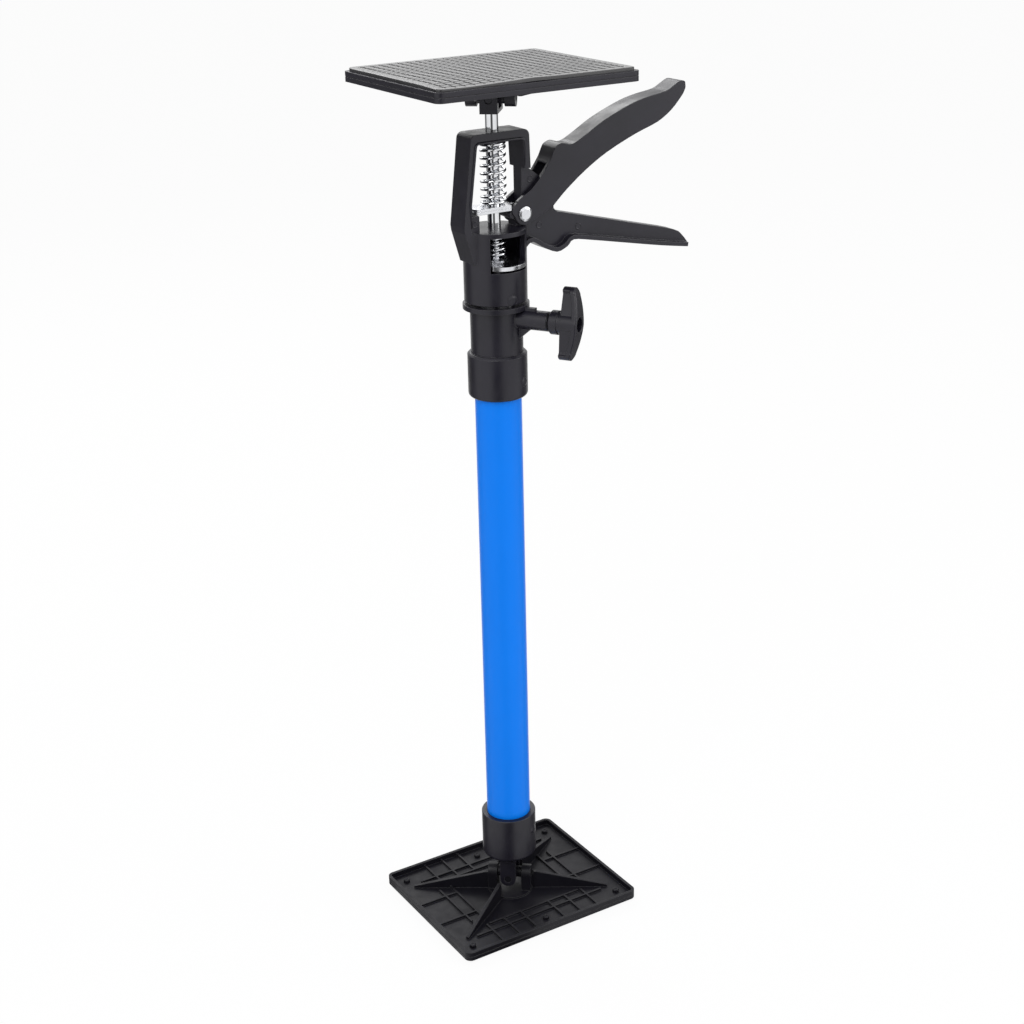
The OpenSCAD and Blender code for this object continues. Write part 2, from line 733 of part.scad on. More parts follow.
grip_size = [grip_reach, -grip_drop];
grip_under = smooth(scaled(grip_under_shares, [0, head_top], grip_size));
grip_top = scaled(grip_top_shares, [0, head_top], grip_size);
web_back = scaled(web_back_shares, [0, head_top], [grip_reach, frame_h]);
pivot = [pivot_x, pivot_z];

module head_housing() {
    color(black) difference() {
        union() {
            translate([0, 0, head_z]) rotate_extrude()
                polygon([[0, 0], [head_od / 2 - groove_h, 0], [head_od / 2, groove_h],
                         [head_od / 2, head_h], [0, head_h]]);
            across(frame_depth) polygon(frame_outline);
            across(ledge_w) polygon([[-ledge_x, head_top - lid_t / 2], [-ledge_x, head_top + ledge_h],
                                     [frame_foot_t / 2 - frame_left - frame_lean, head_top + ledge_h],
                                     [frame_foot_t / 2 - frame_left - frame_lean, head_top - lid_t / 2]]);
            across(web_t) polygon(concat([[web_x, web_top_z + over]], [[frame_right, web_top_z + over]],
                                         web_back, smooth(grip_top), grip_under,
                                         [[pivot_x - web_arc_r, lid_z]],
                                         arc(pivot, web_arc_r, 180, 95)));
            across(flange_w) polygon(concat(grip_under, reversed(beside(grip_under, -flange_t))));
        }
        translate([0, 0, head_z - over]) cylinder(d = inner_od + 2 * fit, h = head_seat + over);
        translate([0, 0, chamber_z]) cylinder(r = chamber_r, h = lid_z - chamber_z);
        translate([0, 0, head_z]) cylinder(d = rod_d + 2 * running, h = head_h + frame_h + over);
        translate([-window_w / 2, -head_od, window_z]) cube([window_w, head_od, lid_z - window_z]);
        translate([pivot_x, 0, pivot_z]) rotate([90, 0, 0])
            cylinder(d = pivot_d + 2 * fit, h = 2 * web_t, center = true);
        side_rivet_bores(-90, head_pin_z, head_od / 2);
    }
    color(black) intersection() {
        translate([-release_w / 4, ledge_in, chamber_z - chamber_floor / 2])
            cube([release_w / 2, chamber_wall + release_t, release_ledge_z - chamber_z + chamber_floor / 2]);
        translate([0, 0, head_z]) cylinder(d = head_od - chamber_wall, h = head_h);
    }
}

module head_pins() {
    color(black) side_rivets(-90, head_pin_z, inner_bore_r + 2 * running, head_od / 2);
}

module pivot_rivet() {
    head_y = lever_w / 2 + running;
    color(zinc) translate([pivot_x, 0, pivot_z]) rotate([90, 0, 0]) {
        cylinder(d = pivot_d, h = 2 * head_y, center = true);
        for (side = [0, 180]) {
            rotate([side, 0, 0]) translate([0, 0, head_y]) {
                cylinder(d = pivot_head_d, h = pivot_head_t / 2);
                translate([0, 0, pivot_head_t / 2])
                    cylinder(d1 = pivot_head_d, d2 = pivot_head_d * 0.7, h = pivot_head_t / 2);
            }
        }
    }
}

lever_size = [lever_reach, lever_rise];
lever_front = smooth(scaled(lever_front_shares, pivot, lever_size), 2);
lever_back = smooth(scaled(concat(lever_back_shares, lever_tip_shares), pivot, lever_size));
lever_under = smooth(scaled(lever_under_shares, pivot, lever_size));
lever_crook = lever_under[len(lever_under) - 1] - pivot;
heel_turn = atan2(lever_crook[1], lever_crook[0]) - acos(heel_r / norm(lever_crook));

module squeeze_lever() {
    inner = beside([for (i = [0 : 3 * len(lever_back_shares) - 3]) lever_back[i]], -back_t);
    mouth = beside([for (i = [4 : len(lever_under) - 1]) lever_under[i]], back_t + over);
    corners = [[lever_crook[0], -2 * heel_r], [-2 * nose_r, -2 * heel_r], [-2 * nose_r, 2 * heel_r]];
    color(black) difference() {
        union() {
            difference() {
                across(lever_w) polygon(concat([for (i = [0 : len(lever_front) - 2]) lever_front[i]],
                                               lever_back, lever_under,
                                               arc(pivot, heel_r, heel_turn, -165, 8),
                                               arc(pivot, nose_r, 170, 125, 5)));
                across(lever_w - 2 * cheek_t)
                    polygon(concat(inner, mouth, [for (c = corners) pivot + c],
                                   [lever_back[0] + 2 * back_t * [-1, 1]]));
            }
            translate([pivot_x - bar_reach, 0, pivot_z + fit]) rotate([90, 0, 0])
                cylinder(d = bar_d, h = lever_w - cheek_t, center = true);
        }
        translate([pivot_x, 0, pivot_z]) rotate([90, 0, 0])
            cylinder(d = pivot_d + 2 * running, h = lever_w + 2 * over, center = true);
    }
}

module drive_plate(z) {
    color(zinc) translate([0, 0, z]) difference() {
        linear_extrude(strip_t) union() {
            polygon([[-drive_back + drive_chamfer, -drive_w / 2], [drive_front, -drive_w / 2],
                     [drive_front, drive_w / 2], [-drive_back + drive_chamfer, drive_w / 2],
                     [-drive_back, drive_w / 2 - drive_chamfer], [-drive_back, drive_chamfer - drive_w / 2]]);
            translate([0, -tongue_w / 2]) square([tongue_reach, tongue_w]);
        }
        translate([0, 0, -over]) cylinder(r = drive_bore_r, h = strip_t + 2 * over);
    }
}

module drive_plate_lower() {
    drive_plate(drive_z);
}

module drive_plate_upper() {
    drive_plate(drive_z + strip_t);
}

// Height along a coil by turns from its foot: the first and last turn lie closer
function coil_rise(turn, turns, rise, end_pitch) =
    turn < 1 ? end_pitch * turn
    : turn > turns - 1 ? rise - end_pitch * (turns - turn)
    : end_pitch + (rise - 2 * end_pitch) * (turn - 1) / (turns - 2);

// Centre line of a coil, whose foot lies on a plane that rises with Y by slope
function coil_line(r, turns, z, rise, end_pitch, slope) =
    [for (i = [0 : turns * ring_steps]) let (t = i / ring_steps, a = 360 * t, y = r * sin(a))
        [r * cos(a), y, z + coil_rise(t, turns, rise, end_pitch) + slope * y * (1 - t / turns)]];

// Least gap of a coil to itself, measured between points about one turn apart
function coil_gap(p, wire) =
    min([for (i = [0 : len(p) - 1], k = [ring_steps - 2 : ring_steps + 2]) if (i + k < len(p))
        norm(p[i + k] - p[i])]) - wire;

module coil(line, wire) {
    n = len(line);
    rings = [for (i = [0 : n - 1]) let (
                 along = line[min(i + 1, n - 1)] - line[max(i - 1, 0)],
                 out = [line[i][0], line[i][1], 0] / norm([line[i][0], line[i][1]]),
                 u = out - along * (out * along) / (along * along),
                 v = cross(along, out) / norm(cross(along, out)))
                 for (k = [0 : wire_sides - 1]) let (a = 360 * k / wire_sides)
                     line[i] + wire / 2 * (cos(a) * u / norm(u) + sin(a) * v)];
    sides = [for (i = [0 : n - 2], k = [0 : wire_sides - 1]) let (
                 a = i * wire_sides + k,
                 b = i * wire_sides + (k + 1) % wire_sides)
                 each [[a, b, b + wire_sides], [a, b + wire_sides, a + wire_sides]]];
    ends = [for (k = [1 : wire_sides - 2])
               each [[0, k + 1, k], [(n - 1) * wire_sides, (n - 1) * wire_sides + k,
                                     (n - 1) * wire_sides + k + 1]]];
    polyhedron(rings, concat(sides, ends));
}

coil_r = spring_od / 2;
drive_line = coil_line(coil_r - drive_wire / 2, drive_turns, drive_top + spring_seat + drive_wire / 2,
                       bridge_z - drive_top - 2 * spring_seat - drive_wire,
                       drive_wire + spring_end_gap, 0);
release_foot = release_z + release_t / cos(release_lean);
release_line = coil_line(coil_r - release_wire / 2, release_turns,
                         release_foot + spring_seat + release_wire / 2 / cos(release_lean),
                         lid_z - release_foot - 2 * spring_seat - release_wire,
                         release_wire + spring_end_gap, tan(release_lean));
echo(drive_spring_gap = coil_gap(drive_line, drive_wire));
echo(release_spring_gap = coil_gap(release_line, release_wire));

module drive_spring() {
    color(zinc) coil(drive_line, drive_wire);
}

module release_spring() {
    color(zinc) coil(release_line, release_wire);
}

module release_plate() {
    color(zinc) translate([0, 0, release_z]) rotate([release_lean, 0, 0]) difference() {
        linear_extrude(release_t) intersection() {
            translate([-release_w / 2, -2 * release_reach]) square([release_w, 4 * release_reach]);
            union() {
                circle(r = release_back_r);
                intersection() {
                    translate([-release_w, -2 * release_reach]) square(2 * [release_w, release_reach]);
                    circle(r = release_reach);
                }
            }
        }
        translate([0, 0, -over]) cylinder(r = release_bore_r, h = release_t + 2 * over);
    }
}

module lift_rod() {
    color(zinc) difference() {
        union() {
            translate([0, 0, rod_z]) cylinder(d = rod_d, h = rod_l - spring_seat);
            translate([0, 0, fork_z - over])
                cylinder(d = rod_spigot_d, h = fork_base_t + over + 2 * spring_seat);
            translate([0, 0, fork_z + fork_base_t + spring_seat])
                cylinder(d = rod_d, h = strip_t / 3);
        }
        translate([0, 0, rod_z - over]) cylinder(d = stop_screw_d + 2 * fit, h = 3 * stop_screw_d + over);
    }
}

module rod_stop_washer() {
    color(zinc) translate([0, 0, rod_z - stop_t]) difference() {
        cylinder(d = stop_d, h = stop_t);
        translate([0, 0, -over]) cylinder(d = stop_screw_d + 2 * fit, h = stop_t + 2 * over);
    }
}

module rod_stop_screw() {
    color(zinc) translate([0, 0, rod_z - stop_t]) {
        cylinder(d = stop_screw_d, h = stop_t + 2.5 * stop_screw_d);
        translate([0, 0, -stop_screw_d]) cylinder(d = 2 * stop_screw_d, h = stop_screw_d);
    }
}

module top_fork() {
    color(black) difference() {
        union() {
            translate([0, 0, top_joint_z]) ears(-fork_rise);
            translate([0, 0, fork_z]) rotate([0, 0, joint_turn + 90]) translate([-ear_out, -ear_w / 2, 0])
                cube([2 * ear_out, ear_w, fork_base_t]);
        }
        translate([0, 0, fork_z - over])
            cylinder(d = rod_spigot_d + 2 * running, h = fork_base_t + 2 * over);
        translate([0, 0, top_joint_z]) ear_bore();
    }
}

module top_cross() {
    color(black) translate([0, 0, top_joint_z]) cross_shape();
}

module top_plate() {
    color(black) translate([0, 0, top_face_z]) mirror([0, 0, 1]) plate_shape();
}

module top_pad() {
    color(rubber) translate([0, 0, top_face_z]) mirror([0, 0, 1]) pad_shape();
}

base_pad();
base_plate();
foot_cross();
foot_socket();
foot_rivets();
outer_tube();
collar();
collar_rivets();
clamp_insert();
clamp_shoe();
clamp_screw();
clamp_knob();
tube_guide();
inner_tube();
head_housing();
head_pins();
pivot_rivet();
squeeze_lever();
drive_plate_lower();
drive_plate_upper();
drive_spring();
release_plate();
release_spring();
lift_rod();
rod_stop_washer();
rod_stop_screw();
top_fork();
top_cross();
top_plate();
top_pad();
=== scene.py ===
"""Telescopic drywall support pole: materials, ribbed pads, springs, knob, small mouldings, light and camera."""
import math

import bmesh
import bpy
from mathutils import Matrix, Vector


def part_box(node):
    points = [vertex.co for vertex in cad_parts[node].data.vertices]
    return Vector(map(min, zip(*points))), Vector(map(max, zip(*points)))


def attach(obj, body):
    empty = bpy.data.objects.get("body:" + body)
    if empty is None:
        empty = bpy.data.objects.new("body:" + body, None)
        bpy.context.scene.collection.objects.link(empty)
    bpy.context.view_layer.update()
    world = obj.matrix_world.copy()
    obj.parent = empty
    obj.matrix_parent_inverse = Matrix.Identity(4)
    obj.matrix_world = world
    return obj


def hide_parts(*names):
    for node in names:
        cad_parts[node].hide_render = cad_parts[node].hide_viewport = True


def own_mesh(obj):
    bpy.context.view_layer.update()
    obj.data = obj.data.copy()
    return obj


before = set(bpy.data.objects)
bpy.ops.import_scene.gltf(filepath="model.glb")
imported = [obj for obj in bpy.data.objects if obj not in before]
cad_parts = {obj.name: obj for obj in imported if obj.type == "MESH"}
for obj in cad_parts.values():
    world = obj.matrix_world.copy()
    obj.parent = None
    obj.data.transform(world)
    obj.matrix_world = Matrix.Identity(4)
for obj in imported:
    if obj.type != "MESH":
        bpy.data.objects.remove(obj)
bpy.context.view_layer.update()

MM = 0.001

# Camera, fitted to the photograph: its place about the pole's axis, its turns and its focal length
IMAGE_PX = 1024
FOCAL_PX = 1769.67
SENSOR = 36.0
CAMERA_DISTANCE = 0.9477
CAMERA_HEIGHT = 0.6387
CAMERA_AZIMUTH = math.radians(31.08)
CAMERA_PAN = math.radians(-0.375)
CAMERA_PITCH = math.radians(21.88)
CAMERA_ROLL = math.radians(1.28)

# Colours, linear
BLACK_PLASTIC = (0.0098, 0.0088, 0.0152)
# The base plate's black: the moulded black darkened to about half as painted shade, for a plate that sits in shade
BLACK_PLATE_PAINTED_SHADE = (0.0045, 0.0041, 0.0072)
BLACK_RUBBER = (0.04, 0.0395, 0.042)
TUBE_BLUE = (0.0, 0.192, 0.84)
ZINC = (0.78, 0.79, 0.82)
DARK_METAL = (0.03, 0.03, 0.034)
CHROME = (0.82, 0.83, 0.85)
BRASS = (0.72, 0.5, 0.2)

# How much lighter the mouldings' colour is painted along their edges, as a painted highlight
EDGE_PAINTED_HIGHLIGHT = 0.03

# Light: the world's strength on matt surfaces, the cards that gloss sees, and three soft lamps with their place,
# target, size and power
WHITE = (1, 1, 1, 1)
WORLD_LIGHT = 0.62
FLOOR_CARDS = 0.9
FLOOR_CLOTH = (0.9, 0.9, 0.9, 1)
FLOOR_WHITE_SHARE = 0.93
FLOOR_HALF = 6.0
LAMPS = {
    "key": ((-1.1, -0.9, 1.5), (0, 0, 0.3), (0.9, 0.9), 14),
    "fill": ((1.2, -0.9, 0.9), (0, 0, 0.3), (0.8, 1.2), 7),
    "back": ((0.2, 1.4, 1.3), (0, 0, 0.35), (1.2, 0.6), 8),
}


def add_node(tree, kind, **inputs):
    node = tree.nodes.new(kind)
    for name, value in inputs.items():
        node.inputs[name.replace("_", " ")].default_value = value
    return node


def new_material(name):
    material = bpy.data.materials.new(name)
    material.use_nodes = True
    tree = material.node_tree
    shader = tree.nodes["Principled BSDF"]
    return material, tree, shader


def surface_noise(tree, scale, detail=2.0, stretch=(1, 1, 1)):
    """A noise in the object's own metres, with so many features to a metre."""
    place = tree.nodes.new("ShaderNodeTexCoord")
    mapping = tree.nodes.new("ShaderNodeMapping")
    mapping.inputs["Scale"].default_value = stretch
    noise = add_node(tree, "ShaderNodeTexNoise", Scale=scale, Detail=detail)
    tree.links.new(place.outputs["Object"], mapping.inputs["Vector"])
    tree.links.new(mapping.outputs["Vector"], noise.inputs["Vector"])
    return noise


def ranged(tree, source, low, high, start=0.35, end=0.65):
    """A noise spread over a range of values."""
    node = add_node(tree, "ShaderNodeMapRange")
    node.inputs["From Min"].default_value = start
    node.inputs["From Max"].default_value = end
    node.inputs["To Min"].default_value = low
    node.inputs["To Max"].default_value = high
    tree.links.new(source.outputs["Fac"], node.inputs["Value"])
    return node


def shaded(tree, source, dark, light, start=0.35, end=0.65):
    """A noise as a blend of two colours."""
    ramp = tree.nodes.new("ShaderNodeValToRGB")
    ramp.color_ramp.elements[0].position = start
    ramp.color_ramp.elements[0].color = (*dark, 1)
    ramp.color_ramp.elements[1].position = end
    ramp.color_ramp.elements[1].color = (*light, 1)
    tree.links.new(source.outputs["Fac"], ramp.inputs["Fac"])
    return ramp


def edge_share(tree, edge):
    """1 on a piece's edges and 0 on its flat faces, from how far a rounded normal turns there; the mask of the
    painted edge highlight.
    """
    bevel = tree.nodes.new("ShaderNodeBevel")
    bevel.samples = 6
    bevel.inputs["Radius"].default_value = edge
    flat = tree.nodes.new("ShaderNodeNewGeometry")
    match = tree.nodes.new("ShaderNodeVectorMath")
    match.operation = "DOT_PRODUCT"
    edge_highlight_mask = add_node(tree, "ShaderNodeMapRange")
    for name, value in (("From Min", 0.86), ("From Max", 0.985), ("To Min", 1.0), ("To Max", 0.0)):
        edge_highlight_mask.inputs[name].default_value = value
    tree.links.new(bevel.outputs["Normal"], match.inputs[0])
    tree.links.new(flat.outputs["Normal"], match.inputs[1])
    tree.links.new(match.outputs["Value"], edge_highlight_mask.inputs["Value"])
    return edge_highlight_mask


def rounded_bump(tree, shader, source, strength, distance, edge):
    """Fine relief over edges that are softly rounded."""
    bevel = tree.nodes.new("ShaderNodeBevel")
    bevel.samples = 6
    bevel.inputs["Radius"].default_value = edge
    bump = add_node(tree, "ShaderNodeBump", Strength=strength, Distance=distance)
    tree.links.new(source.outputs["Fac"], bump.inputs["Height"])
    tree.links.new(bevel.outputs["Normal"], bump.inputs["Normal"])
    tree.links.new(bump.outputs["Normal"], shader.inputs["Normal"])


def plastic(name, color, roughness, grain=2400, relief=0.25, edge=0.5 * MM, gloss_level=0.42):
    material, tree, shader = new_material(name)
    tone = shaded(tree, surface_noise(tree, 45, 4), [0.86 * c for c in color], [1.14 * c for c in color])
    # Painted highlight: the base colour is lighter along the edges, where the edge mask is 1
    painted_edge_highlight = tree.nodes.new("ShaderNodeMix")
    painted_edge_highlight.data_type = "RGBA"
    painted_edge_highlight.inputs[7].default_value = (*[c + EDGE_PAINTED_HIGHLIGHT for c in color], 1)
    tree.links.new(edge_share(tree, edge).outputs["Result"], painted_edge_highlight.inputs[0])
    tree.links.new(tone.outputs["Color"], painted_edge_highlight.inputs[6])
    tree.links.new(painted_edge_highlight.outputs[2], shader.inputs["Base Color"])
    gloss = ranged(tree, surface_noise(tree, 120, 3), roughness - 0.05, roughness + 0.06)
    tree.links.new(gloss.outputs["Result"], shader.inputs["Roughness"])
    rounded_bump(tree, shader, surface_noise(tree, grain, 3), relief, 0.06 * MM, edge)
    shader.inputs["Specular IOR Level"].default_value = gloss_level
    return material


def metal(name, color, roughness, grain=900, stretch=(1, 1, 1), relief=0.12, edge=0.25 * MM):
    material, tree, shader = new_material(name)
    shader.inputs["Metallic"].default_value = 1.0
    tone = shaded(tree, surface_noise(tree, 160, 4), [0.88 * c for c in color], color)
    tree.links.new(tone.outputs["Color"], shader.inputs["Base Color"])
    gloss = ranged(tree, surface_noise(tree, grain, 3, stretch), roughness * 0.75, roughness * 1.3)
    tree.links.new(gloss.outputs["Result"], shader.inputs["Roughness"])
    rounded_bump(tree, shader, surface_noise(tree, grain, 2, stretch), relief, 0.03 * MM, edge)
    return material


def paint(name, color):
    material, tree, shader = new_material(name)
    tone = shaded(tree, surface_noise(tree, 14, 3), [0.97 * c for c in color], [1.0 * c for c in color])
    tree.links.new(tone.outputs["Color"], shader.inputs["Base Color"])
    gloss = ranged(tree, surface_noise(tree, 70, 4, (1, 1, 0.2)), 0.3, 0.37)
    tree.links.new(gloss.outputs["Result"], shader.inputs["Roughness"])
    rounded_bump(tree, shader, surface_noise(tree, 900, 2), 0.1, 0.03 * MM, 0.2 * MM)
    shader.inputs["Specular IOR Level"].default_value = 0.15
    return material


MATERIALS = {
    "plastic": plastic("black_moulded_plastic", BLACK_PLASTIC, 0.35),
    "pad_holder": plastic("black_ribbed_plastic", BLACK_PLASTIC, 0.4, relief=0.35),
    # Base plate, foot cross and the pads' pegs: the moulded black darkened as painted shade
    "foot_holder_painted_shade": plastic("black_foot_plastic_painted_shade", BLACK_PLATE_PAINTED_SHADE, 0.5, relief=0.35, gloss_level=0.25),
    "lever": plastic("black_lever_plastic", BLACK_PLASTIC, 0.36, grain=1700, relief=0.35, edge=0.7 * MM),
    "rubber": plastic("pad_rubber", BLACK_RUBBER, 0.2, grain=300, relief=0.02, edge=0.1 * MM, gloss_level=0.8),
    "paint": paint("blue_paint", TUBE_BLUE),
    "zinc": metal("zinc_plate", ZINC, 0.2, grain=500, relief=0.04),
    "chrome": metal("chromed_rod", CHROME, 0.08, stretch=(1, 1, 0.02), relief=0.03),
    "spring": metal("spring_wire", CHROME, 0.13, relief=0.03, edge=0.05 * MM),
    "brass": metal("brass", BRASS, 0.3),
    "blackened": metal("blackened_brass", DARK_METAL, 0.4),
}

NODE_MATERIALS = {
    "plastic": ["foot_socket", "foot_rivets", "collar", "collar_rivets", "clamp_knob",
                "tube_guide", "head_housing", "head_pins", "top_fork", "top_cross"],
    "pad_holder": ["top_plate"],
    "foot_holder_painted_shade": ["base_plate", "foot_cross"],
    "lever": ["squeeze_lever"],
    "rubber": ["base_pad", "top_pad"],
    "paint": ["outer_tube"],
    "zinc": ["pivot_rivet", "drive_plate_lower", "drive_plate_upper", "release_plate", "clamp_screw",
             "rod_stop_washer", "rod_stop_screw", "inner_tube"],
    "chrome": ["lift_rod"],
    "spring": ["drive_spring", "release_spring"],
    "brass": ["clamp_shoe"],
    "blackened": ["clamp_insert"],
}


def dress_nodes():
    for kind, nodes in NODE_MATERIALS.items():
        for name in nodes:
            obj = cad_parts[name]
            for slot in obj.material_slots:
                slot.material = MATERIALS[kind]


# Pads: squares in a grid inside a plain border, and pegs through the plate
PAD_PITCH = 5.5 * MM
PAD_GROOVE = 1.2 * MM
PAD_GROOVE_DEPTH = 0.9 * MM
PAD_BORDER = 6.0 * MM
PAD_CORNER = 3.0 * MM
PAD_EDGE = 0.3 * MM
# Pegs: their places from the axis, and their form as shares of the radius and depths below the pad's back
PEG_RADIUS = 1.9 * MM
PEG_PLACE = (52.0 * MM, 41.0 * MM)
PEG_LENGTH = 4.0 * MM
PEG_FORM = [(1.0, 0.0), (1.0, 3.5 * MM), (0.8, 3.95 * MM), (0.5, PEG_LENGTH), (0.35, 3.6 * MM), (0.1, 3.5 * MM)]
# Loose edge of the top pad: where it runs, how wide it is, and its waves as height, place and width
LOOSE_Y, LOOSE_WIDE = -49 * MM, 14 * MM
LOOSE_WAVES = [(-0.75 * MM, -44 * MM, 22 * MM), (0.35 * MM, -4 * MM, 9 * MM)]


def groove_lines(half):
    """Stations across a pad: its border, both sides of every groove, and the middle of every square."""
    inner = half - PAD_BORDER
    count = round(2 * inner / PAD_PITCH)
    pitch = 2 * inner / count
    centres = [-inner + i * pitch for i in range(count + 1)]
    stations = [-half, -half + PAD_EDGE, -half + PAD_CORNER / 2, -half + PAD_CORNER]
    for centre in centres:
        stations += [centre + share * PAD_GROOVE for share in (-0.5, -0.3, 0.3, 0.5)]
    stations += [half - PAD_CORNER, half - PAD_CORNER / 2, half - PAD_EDGE, half]
    return stations, centres


def groove_share(value, centres):
    """1 in the floor of a groove, 0 on the squares."""
    near = min(abs(value - centre) for centre in centres)
    return 1.0 if near < 0.4 * PAD_GROOVE else 0.0


def loose_edge(x, y):
    """How far the thin sheet lifts and sinks along the edge that the camera sees."""
    edge = math.exp(-((y - LOOSE_Y) / LOOSE_WIDE) ** 2)
    return edge * sum(height * math.exp(-((x - place) / wide) ** 2) for height, place, wide in LOOSE_WAVES)


def cornered(x, y, half_x, half_y):
    """A point near a corner drawn in to the corner's arc."""
    corner = Vector((half_x - PAD_CORNER, half_y - PAD_CORNER))
    out = Vector((abs(x), abs(y))) - corner
    if min(out) <= 0:
        return x, y
    place = corner + out.normalized() * max(out)
    return math.copysign(place.x, x), math.copysign(place.y, y)


def skin_rings(mesh, rings):
    """Faces round a row of rings, closed at both ends."""
    sides = len(rings[0])
    for low, high in zip(rings, rings[1:]):
        for i in range(sides):
            mesh.faces.new((low[i], low[(i + 1) % sides], high[(i + 1) % sides], high[i]))
    mesh.faces.new(list(reversed(rings[0])))
    mesh.faces.new(rings[-1])


def lathe(mesh, centre, profile, steps=20):
    """A closed turned form about Z: profile gives radius and height from one end to the other."""
    rings = []
    for radius, height in profile:
        turn = [(math.cos(math.tau * i / steps), math.sin(math.tau * i / steps)) for i in range(steps)]
        rings.append([mesh.verts.new(Vector(centre) + Vector((radius * x, radius * y, height))) for x, y in turn])
    skin_rings(mesh, rings)


def plain_mesh(mesh, name="part"):
    """A mesh as data, with its normals out; the editable one is freed."""
    bmesh.ops.recalc_face_normals(mesh, faces=mesh.faces)
    data = bpy.data.meshes.new(name)
    mesh.to_mesh(data)
    mesh.free()
    return data


def finish_mesh(mesh, name, material, body):
    """A mesh as a piece that rides on a body."""
    data = plain_mesh(mesh, name)
    obj = bpy.data.objects.new(name, data)
    data.materials.append(material)
    bpy.context.collection.objects.link(obj)
    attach(obj, body)
    return obj


def smooth_piece(obj):
    """Smooth shading all over a piece."""
    for face in obj.data.polygons:
        face.use_smooth = True


def make_pad(node, body, name, up, sag):
    """A rubber pad: up is 1 where its squares face up, and sag moves its points in height."""
    low, high = (Vector(c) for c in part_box(node))
    half_x, half_y = (high.x - low.x) / 2, (high.y - low.y) / 2
    face = high.z if up > 0 else low.z
    thickness = (high.z - low.z) - PEG_LENGTH
    xs, columns = groove_lines(half_x)
    ys, rows = groove_lines(half_y)
    mesh = bmesh.new()
    top, bottom = {}, {}
    for i, x in enumerate(xs):
        for j, y in enumerate(ys):
            inside = max(abs(x) - half_x, abs(y) - half_y) < PAD_GROOVE - PAD_BORDER
            cut = max(groove_share(x, columns), groove_share(y, rows)) if inside else 0.0
            rim = i in (0, len(xs) - 1) or j in (0, len(ys) - 1)
            depth = PAD_EDGE if rim else cut * PAD_GROOVE_DEPTH
            px, py = cornered(x, y, half_x, half_y)
            lift = sag(px, py)
            top[i, j] = mesh.verts.new((px, py, face - up * depth + lift))
            bottom[i, j] = mesh.verts.new((px, py, face - up * thickness + max(lift, 0)))
    for i in range(len(xs) - 1):
        for j in range(len(ys) - 1):
            for sheet in (top, bottom):
                mesh.faces.new((sheet[i, j], sheet[i + 1, j], sheet[i + 1, j + 1], sheet[i, j + 1]))
    last_i, last_j = len(xs) - 1, len(ys) - 1
    border = [(i, 0) for i in range(last_i)] + [(last_i, j) for j in range(last_j)] \
        + [(i, last_j) for i in range(last_i, 0, -1)] + [(0, j) for j in range(last_j, 0, -1)]
    for a, b in zip(border, border[1:] + border[:1]):
        mesh.faces.new((bottom[a], bottom[b], top[b], top[a]))
    pad = finish_mesh(mesh, name, MATERIALS["rubber"], body)
    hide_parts(node)
    pegs = bmesh.new()
    back = face - up * (thickness - 0.1 * MM)
    for side_x in (-1, 0, 1):
        for side_y in (-1, 1):
            place = (side_x * PEG_PLACE[0], side_y * PEG_PLACE[1], back)
            lathe(pegs, place, [(share * PEG_RADIUS, -up * depth) for share, depth in PEG_FORM])
    # The pegs take the base plate's black with its painted shade
    finish_mesh(pegs, name + "_pegs", MATERIALS["foot_holder_painted_shade"], body)


# Springs: wire, turns, pitch at a closed end over the wire, and how far the release spring's foot leans
DRIVE_WIRE, DRIVE_TURNS = 1.5 * MM, 9
RELEASE_WIRE, RELEASE_TURNS = 1.2 * MM, 4.5
SPRING_END_GAP = 0.55 * MM
SPRING_DIAMETER = 14.6 * MM
DRIVE_FOOT, RELEASE_FOOT = 437.65 * MM, 410.65 * MM
RELEASE_LEAN = math.tan(math.radians(10.8))
TURN_STEPS, WIRE_SIDES = 40, 12


def coil_rise(t, turns, rise, end_pitch):
    """Height of a coil after t turns: close at both ends, and open between them."""
    if t <= 1:
        return end_pitch * t
    if t >= turns - 1:
        return rise - end_pitch * (turns - t)
    return end_pitch + (t - 1) / (turns - 2) * (rise - 2 * end_pitch)


def make_spring(node, wire, turns, foot, lean):
    """A spring of round wire, whose line starts at the height foot, that closes towards its upper seat."""
    low, high = (Vector(c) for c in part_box(node))
    radius = (SPRING_DIAMETER - wire) / 2
    rise = high.z - wire / 2 - foot
    line = []
    for i in range(round(turns * TURN_STEPS) + 1):
        t = i / TURN_STEPS
        y = radius * math.sin(math.tau * t)
        height = foot + coil_rise(t, turns, rise, wire + SPRING_END_GAP) + lean * y * (1 - t / turns)
        line.append(Vector((radius * math.cos(math.tau * t), y, height)))
    mesh = bmesh.new()
    turn = [(math.cos(math.tau * j / WIRE_SIDES), math.sin(math.tau * j / WIRE_SIDES)) for j in range(WIRE_SIDES)]
    rings = []
    for i, point in enumerate(line):
        along = (line[min(i + 1, len(line) - 1)] - line[max(i - 1, 0)]).normalized()
        out = Vector((point.x, point.y, 0)).normalized()
        out = (out - along * out.dot(along)).normalized()
        up = along.cross(out)
        rings.append([mesh.verts.new(point + wire / 2 * (a * out + b * up)) for a, b in turn])
    skin_rings(mesh, rings)
    spring = finish_mesh(mesh, node + "_wire", MATERIALS["spring"], "head")
    smooth_piece(spring)
    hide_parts(node)
    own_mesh(spring)


